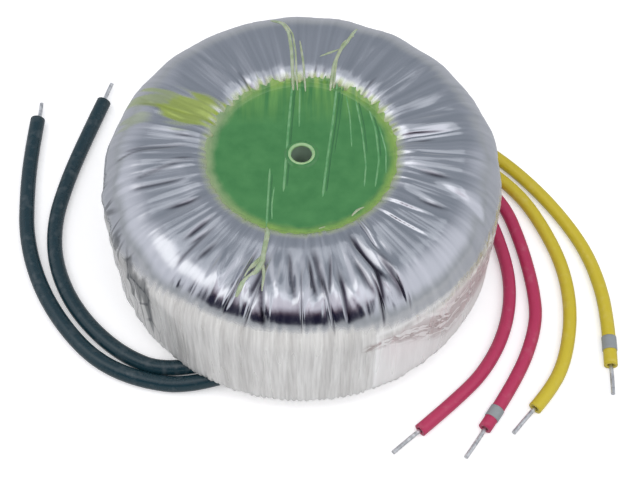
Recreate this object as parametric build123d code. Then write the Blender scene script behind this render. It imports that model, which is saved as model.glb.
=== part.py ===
from build123d import *
import os
import random
from dataclasses import dataclass
from math import atan2, cos, degrees, pi, radians, sqrt, tan

# Toroidal mains transformer with a resin-filled centre and six free leads.
# Millimetres, +Z up. The origin is the centre of the underside, on the axis of the fixing bore.

# ---- wound body, measured over the film ----
BODY_DIAMETER = 100.0
BODY_HEIGHT = 44.0
EYE_RADIUS = 19.5             # half the width of the wound eye at mid height
TOP_SHOULDER_RADIUS = 12.0    # rounding from the wall to the top
BASE_SHOULDER_RADIUS = 10.0   # rounding from the wall to the underside
TOP_EYE_ROUNDING = 9.0        # rounding from the top into the eye
BASE_EYE_SLOPE = 4.5          # slope from the underside into the eye

# ---- layers, from the film inwards, as thicknesses on the outer wall ----
FILM_BUILD = 1.8              # turns of polyester film with their gathers
LABEL_SPACE = 0.2             # slot under the film that holds the label
YELLOW_WINDING_BUILD = 1.1
RED_WINDING_BUILD = 1.0
PRIMARY_TAPE_BUILD = 0.4
PRIMARY_BUILD = 1.6
CORE_CAP_WALL = 0.9
LAYER_CLEARANCE = 0.03        # air left between one layer and the next
EYE_CROWDING = 1.35           # turns bunch up in the eye, so layers are thicker there
FACE_CROWDING = 1.12          # and a little thicker over the top and underside
CORNER_TIGHTENING = 1.7       # corners get sharper towards the square core by this rate
BEVEL_SHARE = 0.85            # a layer's bevel as a share of the rounding it stands for
LEAST_ROUNDING = 0.5
WINDING_GAP_ANGLE = 4.0       # gap between the first and last turn of a winding, degrees
CAP_SPLIT = 0.6               # gap at mid height between the two core caps

# ---- gathers of the film ----
PLEAT_COUNT = 40
PLEAT_LEAN = 0.3              # a fold's deep line lies this far along its pitch
PLEAT_DEPTH_TOP = 1.2         # depth of a fold on the top, beside the eye
PLEAT_DEPTH_WALL = 0.6
BROW_FULLNESS = 0.5           # how far the film bulges between the top and the resin
PLEAT_UNEVENNESS = 0.45       # share by which folds differ in depth and pitch
PLEAT_SEED = 7

# ---- potting resin and its fixing bore ----
RESIN_RECESS = 2.2            # the resin stands this far below the film's top
BORE_DIAMETER = 6.4
LIP_WIDTH = 1.0
LIP_HEIGHT = 0.35

# ---- rating label, blank, under the film ----
LABEL_THICKNESS = 0.12
LABEL_HEIGHT = 21.0
LABEL_FIRST_ANGLE = -70.0
LABEL_SWEEP = 52.0

# ---- leads ----
SLEEVE_CLEARANCE = 0.05       # round a sleeve where it passes through the layers
SLEEVE_WALL = 0.8
OPEN_END_DEPTH = 3.0          # depth to which a sleeve's end stands open round its wire
WIRE_DIAMETER = 1.1
BAND_WALL = 0.15
BAND_CLEARANCE = 0.02
BEND_SHARE = 0.45             # share of the shorter run that a bend may use

BLACK_SLEEVE = 4.1
RED_SLEEVE = 3.4
YELLOW_SLEEVE = 3.5

BODY_RADIUS = BODY_DIAMETER / 2
RESIN_LEVEL = BODY_HEIGHT - RESIN_RECESS
RESIN_CLEARANCE = EYE_RADIUS * (1 - cos(pi / PLEAT_COUNT))    # room for the flats between folds
WALL_MIDDLE = (BASE_SHOULDER_RADIUS + BODY_HEIGHT - TOP_SHOULDER_RADIUS) / 2

# depth of each layer's outer face under the film's outer face
YELLOW_DEPTH = FILM_BUILD + LABEL_SPACE
RED_DEPTH = YELLOW_DEPTH + YELLOW_WINDING_BUILD
PRIMARY_TAPE_DEPTH = RED_DEPTH + RED_WINDING_BUILD
PRIMARY_DEPTH = PRIMARY_TAPE_DEPTH + PRIMARY_TAPE_BUILD
CAP_DEPTH = PRIMARY_DEPTH + PRIMARY_BUILD
CORE_DEPTH = CAP_DEPTH + CORE_CAP_WALL


@dataclass(frozen=True)
class Lead:
    """One flying lead: the route's points run from inside its winding to the sleeve's end."""

    winding: str
    sleeve_diameter: float
    bare_end: float
    band: tuple      # start and length of a marker band, measured back from the sleeve's end
    route: tuple

    def points(self):
        return [Vector(*p) for p in self.route]


LEADS = (
    Lead("primary", BLACK_SLEEVE, 6.0, (), (
        (-15.5, -39.6, 4.5), (-28.0, -43.0, 2.05), (-41.6, -40.9, 2.05), (-53.1, -35.2, 2.05),
        (-62.9, -24.3, 2.05), (-70.1, -12.0, 2.05), (-74.8, 2.2, 2.05), (-76.2, 16.5, 2.05),
        (-76.6, 30.0, 2.05), (-76.1, 42.2, 2.05))),
    Lead("primary", BLACK_SLEEVE, 7.0, (), (
        (-21.3, -36.7, 4.5), (-33.5, -38.7, 2.05), (-46.4, -33.2, 2.05), (-58.6, -21.4, 2.05),
        (-65.9, -7.7, 2.05), (-67.8, 6.3, 2.05), (-65.6, 20.3, 2.05), (-61.9, 34.6, 2.05),
        (-57.7, 48.6, 2.05))),
    Lead("red", RED_SLEEVE, 9.0, (), (
        (38.2, 20.5, 4.35), (49.0, 13.0, 1.7), (53.0, 0.2, 1.7), (54.9, -13.4, 1.7),
        (52.5, -26.8, 1.7), (46.2, -38.8, 1.7), (37.4, -47.6, 1.7), (28.7, -55.1, 1.7))),
    Lead("red", RED_SLEEVE, 9.2, (3.2, 3.2), (
        (32.9, 28.6, 4.35), (44.8, 24.0, 1.7), (54.9, 13.2, 1.7), (58.7, -0.9, 1.7),
        (60.7, -15.2, 1.7), (60.4, -26.0, 1.7), (54.1, -41.3, 1.7), (44.7, -54.7, 1.7))),
    Lead("yellow", YELLOW_SLEEVE, 8.8, (), (
        (26.5, 35.1, 4.2), (38.4, 33.4, 1.75), (49.7, 25.6, 1.75), (59.6, 15.6, 1.75),
        (65.4, 3.9, 1.75), (69.3, -8.9, 1.75), (69.8, -22.4, 1.75), (66.8, -35.8, 1.75),
        (62.3, -44.1, 1.75), (57.6, -49.4, 1.75))),
    Lead("yellow", YELLOW_SLEEVE, 8.0, (4.2, 3.8), (
        (17.9, 40.2, 4.2), (29.9, 41.2, 1.75), (43.4, 36.6, 1.75), (54.6, 28.3, 1.75),
        (65.3, 16.0, 1.75), (73.6, 2.2, 1.75), (77.6, -9.4, 1.75), (79.2, -23.5, 1.75),
        (78.1, -37.6, 1.75))),
)


# ---------------------------------------------------------------- sections of the wound body
def upright(face):
    """Stand a section, drawn as radius by height, in the plane of X and Z."""
    return Plane.XZ * face


def box_at(depth):
    """Inner and outer radius, low and high of the wound body, as deep under the film as depth."""
    across = depth * FACE_CROWDING
    return EYE_RADIUS + depth * EYE_CROWDING, BODY_RADIUS - depth, across, BODY_HEIGHT - across


def bevel_at(rounding, depth):
    """Bevel that stands for a corner's rounding at a depth."""
    return BEVEL_SHARE * max(rounding - CORNER_TIGHTENING * depth, LEAST_ROUNDING)


def layer_section(depth):
    """Face of everything that lies deeper than depth, with bevelled corners."""
    inner, outer, low, high = box_at(depth)
    base = bevel_at(BASE_SHOULDER_RADIUS, depth)
    shoulder = bevel_at(TOP_SHOULDER_RADIUS, depth)
    eye_top = bevel_at(TOP_EYE_ROUNDING, depth)
    eye_base = bevel_at(BASE_EYE_SLOPE, depth)
    return make_face(Polyline(
        (inner + eye_base, low), (outer - base, low), (outer, low + base), (outer, high - shoulder),
        (outer - shoulder, high), (inner + eye_top, high), (inner, high - eye_top),
        (inner, low + eye_base), close=True))


def layer_ring(outer_depth, build, sweep_angle=360):
    """Hollow ring of one layer."""
    section = layer_section(outer_depth + LAYER_CLEARANCE / 2)
    section -= layer_section(outer_depth + build - LAYER_CLEARANCE / 2)
    return revolve(upright(section), Axis.Z, sweep_angle)


def winding_ring(outer_depth, build, leads):
    """Layer of turns, open between its first and last turn, where its leads start."""
    angles = [degrees(atan2(lead.route[0][1], lead.route[0][0])) for lead in leads]
    first_turn = sum(angles) / len(angles) + WINDING_GAP_ANGLE / 2
    return Rot(0, 0, first_turn) * layer_ring(outer_depth, build, 360 - WINDING_GAP_ANGLE)


# ---------------------------------------------------------------- core and its caps
def core():
    """Ring of wound steel strip."""
    return revolve(upright(layer_section(CORE_DEPTH + LAYER_CLEARANCE)), Axis.Z, 360)


def core_cap(upper):
    """Moulded cap over the upper or lower half of the core."""
    inner, outer, low, high = box_at(CORE_DEPTH)
    hollow = Pos((inner + outer) / 2, (low + high) / 2) * Rectangle(outer - inner, high - low)
    side = 1 if upper else -1
    half = Pos(BODY_RADIUS / 2, BODY_HEIGHT / 2 + side * (BODY_HEIGHT + CAP_SPLIT) / 2)
    section = layer_section(CAP_DEPTH + LAYER_CLEARANCE / 2) - hollow
    section &= half * Rectangle(BODY_RADIUS, BODY_HEIGHT)
    return revolve(upright(section), Axis.Z, 360)


# ---------------------------------------------------------------- film with its gathers
def resin_edge():
    """Radius where the resin's top meets the rounding into the eye."""
    rise = RESIN_LEVEL - (BODY_HEIGHT - TOP_EYE_ROUNDING)
    return EYE_RADIUS + TOP_EYE_ROUNDING - sqrt(TOP_EYE_ROUNDING ** 2 - rise ** 2)


def film_section(angle, sink):
    """Section of the film's outside at an angle, sunk by the share sink of a full fold."""
    wall = BODY_RADIUS - sink * PLEAT_DEPTH_WALL
    top = BODY_HEIGHT - sink * PLEAT_DEPTH_TOP
    foot = wall - BASE_SHOULDER_RADIUS
    shoulder = wall - TOP_SHOULDER_RADIUS
    spring = top - TOP_SHOULDER_RADIUS
    brow = EYE_RADIUS + TOP_EYE_ROUNDING
    edge = resin_edge()
    eye_neck = BODY_HEIGHT - TOP_EYE_ROUNDING
    inset = 1 - sqrt(0.5)        # how far a quarter round's middle lies from its corner's sides
    foot_bend = (wall - BASE_SHOULDER_RADIUS * inset, BASE_SHOULDER_RADIUS * inset)
    shoulder_bend = (wall - TOP_SHOULDER_RADIUS * inset, top - TOP_SHOULDER_RADIUS * inset)
    brow_bend = ((edge + brow) / 2, (RESIN_LEVEL + top) / 2 + BROW_FULLNESS * (1 - sink / 2))
    edges = [
        Line((EYE_RADIUS + BASE_EYE_SLOPE, 0), (foot, 0)),
        ThreePointArc((foot, 0), foot_bend, (wall, BASE_SHOULDER_RADIUS)),
        Line((wall, BASE_SHOULDER_RADIUS), (wall, spring)),
        ThreePointArc((wall, spring), shoulder_bend, (shoulder, top)),
        Line((shoulder, top), (brow, top)),
        ThreePointArc((brow, top), brow_bend, (edge, RESIN_LEVEL)),
        Line((edge, RESIN_LEVEL), (EYE_RADIUS, eye_neck)),
        Line((EYE_RADIUS, eye_neck), (EYE_RADIUS, BASE_EYE_SLOPE)),
        Line((EYE_RADIUS, BASE_EYE_SLOPE), (EYE_RADIUS + BASE_EYE_SLOPE, 0)),
    ]
    return Rot(0, 0, angle) * upright(make_face(edges))


def pleat_stations():
    """Angle and sink of every ridge and every deep line, once round the ring."""
    draw = random.Random(PLEAT_SEED)
    pitch = 360 / PLEAT_COUNT
    stations = []
    for index in range(PLEAT_COUNT):
        shift = PLEAT_UNEVENNESS * draw.uniform(-0.5, 0.5) * pitch * (1 - PLEAT_LEAN)
        held = index % (PLEAT_COUNT // 2) == 0      # where the two halves of the ring meet
        ridge = index * pitch + (0 if held else shift)
        lean = PLEAT_LEAN * (1 + PLEAT_UNEVENNESS * draw.uniform(-1, 1))
        sink = 1 - PLEAT_UNEVENNESS * draw.uniform(0, 1)
        stations.append((ridge, PLEAT_UNEVENNESS * draw.uniform(0, 0.4) * (not held)))
        stations.append((index * pitch + pitch * (1 - PLEAT_LEAN) / 2 + lean * pitch, sink))
    stations.append((360.0, 0.0))
    return stations


def film_wrap(passages):
    """Film wound over everything, gathered into folds that run over the top and the wall."""
    stations = pleat_stations()
    inside = revolve(upright(layer_section(FILM_BUILD)), Axis.Z, 360)
    halves = []
    for part in (stations[:PLEAT_COUNT + 1], stations[PLEAT_COUNT:]):
        shell = loft([film_section(angle, sink) for angle, sink in part], ruled=True)
        halves.append(shell - inside)
    return halves[0] + halves[1] - passages


# ---------------------------------------------------------------- resin centre
def potting():
    """Resin that fills the eye, with the fixing bore and its lip."""
    bore = BORE_DIAMETER / 2
    wall = EYE_RADIUS - RESIN_CLEARANCE
    lip_top = RESIN_LEVEL + LIP_HEIGHT
    section = make_face(Polyline(
        (bore, 0), (wall + BASE_EYE_SLOPE, 0), (wall, BASE_EYE_SLOPE),
        (wall, BODY_HEIGHT - TOP_EYE_ROUNDING), (resin_edge() - RESIN_CLEARANCE, RESIN_LEVEL),
        (bore + LIP_WIDTH, RESIN_LEVEL), (bore + LIP_WIDTH / 2, lip_top), (bore, lip_top),
        close=True))
    return revolve(upright(section), Axis.Z, 360)


# ---------------------------------------------------------------- label
def rating_label():
    """Blank label, bent round the wall between the windings and the film."""
    middle = BODY_RADIUS - FILM_BUILD - LABEL_SPACE / 2
    section = Pos(middle, WALL_MIDDLE) * Rectangle(LABEL_THICKNESS, LABEL_HEIGHT)
    return Rot(0, 0, LABEL_FIRST_ANGLE) * revolve(upright(section), Axis.Z, LABEL_SWEEP)


# ---------------------------------------------------------------- leads
def bend_radii(points):
    """Radius of the bend at each corner, as large as the two runs beside it allow."""
    radii = []
    for before, here, after in zip(points, points[1:], points[2:]):
        turn = radians((here - before).get_angle(after - here))
        shorter = min((here - before).length, (after - here).length)
        radii.append(BEND_SHARE * shorter / tan(turn / 2))
    return radii


def centre_line(lead):
    """Path of a lead's middle."""
    points = lead.points()
    return FilletPolyline(*points, radius=bend_radii(points))


def bar(lead, diameter):
    """Round bar along a lead's path."""
    path = centre_line(lead)
    start = Plane(origin=path @ 0, z_dir=path % 0)
    return sweep(start * Circle(diameter / 2), path=path)


def at_end(lead, back):
    """Plane across a lead that far before its sleeve's end, facing outwards."""
    points = lead.points()
    along = (points[-1] - points[-2]).normalized()
    return Plane(origin=points[-1] - along * back, z_dir=along)


def sleeve(lead):
    """Insulated lead: a sleeve over its wire, standing open a little way at the end."""
    open_end = Circle(lead.sleeve_diameter / 2 - SLEEVE_WALL)
    return bar(lead, lead.sleeve_diameter) - extrude(at_end(lead, OPEN_END_DEPTH) * open_end,
                                                     OPEN_END_DEPTH)


def wire_end(lead):
    """Tinned wire that stands out of the sleeve, seated on the floor of its open end."""
    return extrude(at_end(lead, OPEN_END_DEPTH) * Circle(WIRE_DIAMETER / 2),
                   OPEN_END_DEPTH + lead.bare_end)


def marker_band(lead):
    """Short ring round a sleeve that tells two leads of one colour apart."""
    back, length = lead.band
    inner = lead.sleeve_diameter / 2 + BAND_CLEARANCE
    return extrude(at_end(lead, back + length) * (Circle(inner + BAND_WALL) - Circle(inner)), length)


def save(name, solid):
    """Write one node."""
    solid.label = name
    export_step(solid, f"parts/{name}.step")


def main():
    os.makedirs("parts", exist_ok=True)
    windings = {}
    passages = Part()
    for lead in LEADS:
        windings.setdefault(lead.winding, []).append(lead)
        passages += bar(lead, lead.sleeve_diameter + 2 * SLEEVE_CLEARANCE)
    primary = winding_ring(PRIMARY_DEPTH, PRIMARY_BUILD, windings["primary"])
    red = winding_ring(RED_DEPTH, RED_WINDING_BUILD, windings["red"])
    yellow = winding_ring(YELLOW_DEPTH, YELLOW_WINDING_BUILD, windings["yellow"])

    save("core", core())
    save("core_cap_upper", core_cap(True))
    save("core_cap_lower", core_cap(False))
    save("primary_winding", primary - passages)
    save("primary_insulation", layer_ring(PRIMARY_TAPE_DEPTH, PRIMARY_TAPE_BUILD) - passages)
    save("red_secondary_winding", red - passages)
    save("yellow_secondary_winding", yellow - passages)
    save("film_wrap", film_wrap(passages))
    save("potting", potting())
    save("rating_label", rating_label())

    for winding, leads in windings.items():
        for number, lead in enumerate(leads, start=1):
            radii = bend_radii(lead.points())
            line = centre_line(lead)
            share = bar(lead, lead.sleeve_diameter).volume
            share /= line.length * pi * lead.sleeve_diameter ** 2 / 4
            print(f"{winding} lead {number}: {line.length:.1f} mm, bends "
                  f"{[round(radius, 1) for radius in radii]} mm, volume share {share:.5f}")
            save(f"{winding}_sleeve_{number}", sleeve(lead))
            save(f"{winding}_wire_end_{number}", wire_end(lead))
            if lead.band:
                save(f"{winding}_marker_band", marker_band(lead))


main()
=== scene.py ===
"""Toroidal mains transformer, wound in clear film, with a cast resin centre and six flying leads."""
import logging
import math
from dataclasses import dataclass, field
from enum import Enum
from functools import partial
from typing import Callable, Optional, Sequence

import bmesh
import bpy
import numpy as np
from mathutils import Matrix, Vector


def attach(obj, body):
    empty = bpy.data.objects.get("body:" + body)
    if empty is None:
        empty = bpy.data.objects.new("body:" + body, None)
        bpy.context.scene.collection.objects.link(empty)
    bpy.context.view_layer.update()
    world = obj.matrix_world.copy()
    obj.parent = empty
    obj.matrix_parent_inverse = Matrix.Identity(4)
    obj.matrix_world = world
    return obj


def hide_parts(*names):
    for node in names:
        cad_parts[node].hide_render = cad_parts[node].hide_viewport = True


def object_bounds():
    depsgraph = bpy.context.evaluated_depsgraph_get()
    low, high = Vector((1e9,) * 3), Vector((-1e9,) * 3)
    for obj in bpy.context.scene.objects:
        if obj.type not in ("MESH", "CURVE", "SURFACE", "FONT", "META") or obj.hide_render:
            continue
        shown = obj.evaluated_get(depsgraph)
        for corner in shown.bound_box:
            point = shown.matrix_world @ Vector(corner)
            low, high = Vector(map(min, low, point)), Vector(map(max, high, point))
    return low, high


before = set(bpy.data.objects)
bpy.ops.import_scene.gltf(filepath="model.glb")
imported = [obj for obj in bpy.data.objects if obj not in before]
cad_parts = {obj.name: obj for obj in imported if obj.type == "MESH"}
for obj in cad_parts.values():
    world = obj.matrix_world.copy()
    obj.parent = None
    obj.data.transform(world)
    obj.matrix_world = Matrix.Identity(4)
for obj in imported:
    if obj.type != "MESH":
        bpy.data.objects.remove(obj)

CAD_LOW, CAD_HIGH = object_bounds()
MM = 0.001
FULL_TURN = 2 * math.pi
BODY = "root"

logging.basicConfig(level=logging.INFO, format="%(message)s")
log = logging.getLogger("toroid")

Point = tuple[float, float, float]
Piece = bpy.types.Object
Material = bpy.types.Material
Socket = bpy.types.NodeSocket
Mesh = bmesh.types.BMesh


# ------------------------------ small helpers
def linear(code: str) -> tuple[float, float, float, float]:
    """Turns an sRGB colour into Blender's linear one.

    Args:
        code: Six hex digits.

    Returns:
        Red, green, blue and an alpha of 1.
    """
    channels = [int(code[i:i + 2], 16) / 255 for i in (0, 2, 4)]
    return tuple(c / 12.92 if c <= 0.04045 else ((c + 0.055) / 1.055) ** 2.4 for c in channels) + (1.0,)


def connect(node: bpy.types.Node, inputs: dict) -> None:
    """Links sockets to a node's inputs and sets its even values.

    Args:
        node: Node that is fed.
        inputs: Input names or numbers, each with a socket to link or a value to set.
    """
    for key, value in inputs.items():
        if isinstance(value, Socket):
            node.id_data.links.new(value, node.inputs[key])
        else:
            node.inputs[key].default_value = value


def add_node(tree: bpy.types.NodeTree, kind: str, inputs: Optional[dict] = None,
             stops: Sequence[tuple[float, str]] = (), out: int | str = 0, **settings) -> Socket:
    """Adds a node with its settings, values and links.

    Args:
        tree: Node tree that gets the node.
        kind: Node type name after ShaderNode.
        inputs: Input names or numbers, each with a socket to link or a value to set.
        stops: Places and hex colours of a colour ramp.
        out: Name or number of the output that is wanted.
        **settings: Properties of the node itself.

    Returns:
        That output of the new node.
    """
    node = tree.nodes.new("ShaderNode" + kind)
    for name, value in settings.items():
        setattr(node, name, value)
    connect(node, inputs or {})
    for index, (place, code) in enumerate(stops):
        elements = node.color_ramp.elements
        stop = elements[index] if index < 2 else elements.new(place)
        stop.position = place
        stop.color = linear(code)
    return node.outputs[out]


def mesh_object(name: str, bm: Mesh) -> Piece:
    """Makes a finished bmesh an object at the origin, smooth shaded.

    Args:
        name: Name of the piece.
        bm: Mesh in the row frame, in metres. It is freed.

    Returns:
        The linked object.
    """
    for face in bm.faces:
        face.smooth = True
    mesh = bpy.data.meshes.new(name)
    bm.to_mesh(mesh)
    bm.free()
    piece = bpy.data.objects.new(name, mesh)
    bpy.context.scene.collection.objects.link(piece)
    return piece


def spun(bm: Mesh, steps: int) -> None:
    """Spins a section round the axis into a closed ring.

    Args:
        bm: Mesh that holds the section.
        steps: Divisions of the full turn.
    """
    bmesh.ops.spin(bm, geom=bm.verts[:] + bm.edges[:], cent=(0, 0, 0), axis=(0, 0, 1),
                   angle=FULL_TURN, steps=steps, use_merge=True)
    bmesh.ops.remove_doubles(bm, verts=bm.verts, dist=1e-7)
    bmesh.ops.recalc_face_normals(bm, faces=bm.faces)


def read_places(bm: Mesh) -> np.ndarray:
    """Reads the places of a mesh's vertices in millimetres."""
    return np.array([tuple(vert.co) for vert in bm.verts]) / MM


def move_to(bm: Mesh, places: np.ndarray) -> None:
    """Moves a mesh's vertices to places in millimetres."""
    for vert, place in zip(bm.verts, places * MM):
        vert.co = place


def curve_object(name: str, routes: Sequence[Sequence[Point]], radius: float, rings: int, steps: int,
                 caps: bool = True, widths: Sequence[float] = (), taper: float = 1.0) -> Piece:
    """Makes a round curve along smooth splines of the given control points.

    Args:
        name: Name of the piece.
        routes: Control points of each spline, in millimetres.
        radius: Radius in millimetres.
        rings: Smoothness of the round section.
        steps: Divisions of each stretch between control points.
        caps: Whether the ends are closed.
        widths: Share of the radius that each spline has, if not all of it.
        taper: Share of its radius that a spline keeps at its ends.

    Returns:
        The linked curve object.
    """
    data = bpy.data.curves.new(name, "CURVE")
    data.dimensions = "3D"
    data.bevel_depth = radius * MM
    data.bevel_resolution = rings
    data.use_fill_caps = caps
    for points, width in zip(routes, widths or [1.0] * len(routes)):
        spline = data.splines.new("NURBS")
        spline.points.add(len(points) - 1)
        for control, place in zip(spline.points, points):
            control.co = (*(c * MM for c in place), 1.0)
            control.radius = width
        for end in (spline.points[0], spline.points[-1]):
            end.radius = width * taper
        spline.order_u = 3
        spline.use_endpoint_u = True
        spline.resolution_u = steps
        spline.use_smooth = True
    piece = bpy.data.objects.new(name, data)
    bpy.context.scene.collection.objects.link(piece)
    return piece


def line_of(piece: Piece) -> np.ndarray:
    """Reads the points that a curve's spline follows.

    Args:
        piece: Curve object at the origin.

    Returns:
        Points along its line, in millimetres, from first to last.
    """
    bare = piece.data.copy()
    bare.bevel_depth = 0
    holder = bpy.data.objects.new("line", bare)
    mesh = bpy.data.meshes.new_from_object(holder)
    points = np.array([tuple(v.co) for v in mesh.vertices]) / MM
    bpy.data.objects.remove(holder)
    bpy.data.meshes.remove(mesh)
    bpy.data.curves.remove(bare)
    return points


def gone_along(line: np.ndarray) -> np.ndarray:
    """Measures how far along a line each of its points lies, from the first."""
    return np.concatenate([[0], np.cumsum(np.linalg.norm(np.diff(line, axis=0), axis=1))])


def smooth(value: np.ndarray, low: float, high: float) -> np.ndarray:
    """Rises softly from 0 at low to 1 at high."""
    share = np.clip((value - low) / (high - low), 0, 1)
    return share * share * (3 - 2 * share)


def span(value: np.ndarray, low: float, full: float, fall: float, end: float) -> np.ndarray:
    """Rises softly from 0 at low to 1 at full, and falls again from fall to end."""
    return smooth(value, low, full) * (1 - smooth(value, fall, end))


def bell(value: np.ndarray, middle: float, width: float, power: int = 2) -> np.ndarray:
    """Falls off from 1 at the middle on both sides: the flatter on top, the higher its even power."""
    return np.exp(-((value - middle) / width) ** power)


def ripples(angle: np.ndarray, along: np.ndarray, count: tuple[int, int], length: float,
            seed: int, terms: int = 26) -> np.ndarray:
    """Soft unevenness that closes on itself round the ring.

    Args:
        angle: Angle round the ring, in radians.
        along: Distance across the film, in millimetres.
        count: Fewest and most waves in one turn round the ring.
        length: Shortest wave across the film, in millimetres.
        seed: Seed of the draw.
        terms: Number of waves that are added up.

    Returns:
        Values of about -1 to 1.
    """
    draw = np.random.default_rng(seed)
    total = np.zeros_like(angle)
    for _ in range(terms):
        waves = draw.integers(count[0], count[1] + 1)
        slant = draw.uniform(-1, 1) * FULL_TURN / length
        total += np.cos(waves * angle + slant * along + draw.uniform(0, FULL_TURN))
    return total / math.sqrt(terms)


# ------------------------------ finishes
class Slot(Enum):
    """Material slots of the record, named for the kinds of new piece; their finishes are built here."""

    FILM = "polyester_film"
    RESIN = "green_resin"
    BLACK = "black_sleeving"
    RED = "red_sleeving"
    YELLOW = "yellow_sleeving"
    WIRE = "tinned_copper"
    BAND = "marker_band"


def seat(piece: Piece, finish: Material) -> None:
    """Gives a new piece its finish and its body.

    Args:
        piece: The piece.
        finish: Its material.
    """
    piece.data.materials.append(finish)
    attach(piece, BODY)


@dataclass(frozen=True)
class Finish:
    """What every finish has: a name, a main colour, a roughness and whether it is metal."""

    name: str
    colour: str
    roughness: float
    metallic: float = 0.0

    def start(self, even: Optional[dict] = None) -> tuple[Material, Callable, bpy.types.Node]:
        """Makes the material with its even values set on the shader's own sockets.

        Args:
            even: Further shader sockets and their values.

        Returns:
            The material, the function that adds a node to it, and its shader node.
        """
        material = bpy.data.materials.new(self.name)
        material.use_nodes = True
        shader = material.node_tree.nodes["Principled BSDF"]
        connect(shader, {"Base Color": linear(self.colour), "Roughness": self.roughness,
                         "Metallic": self.metallic, **(even or {})})
        return material, partial(add_node, material.node_tree), shader


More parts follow.
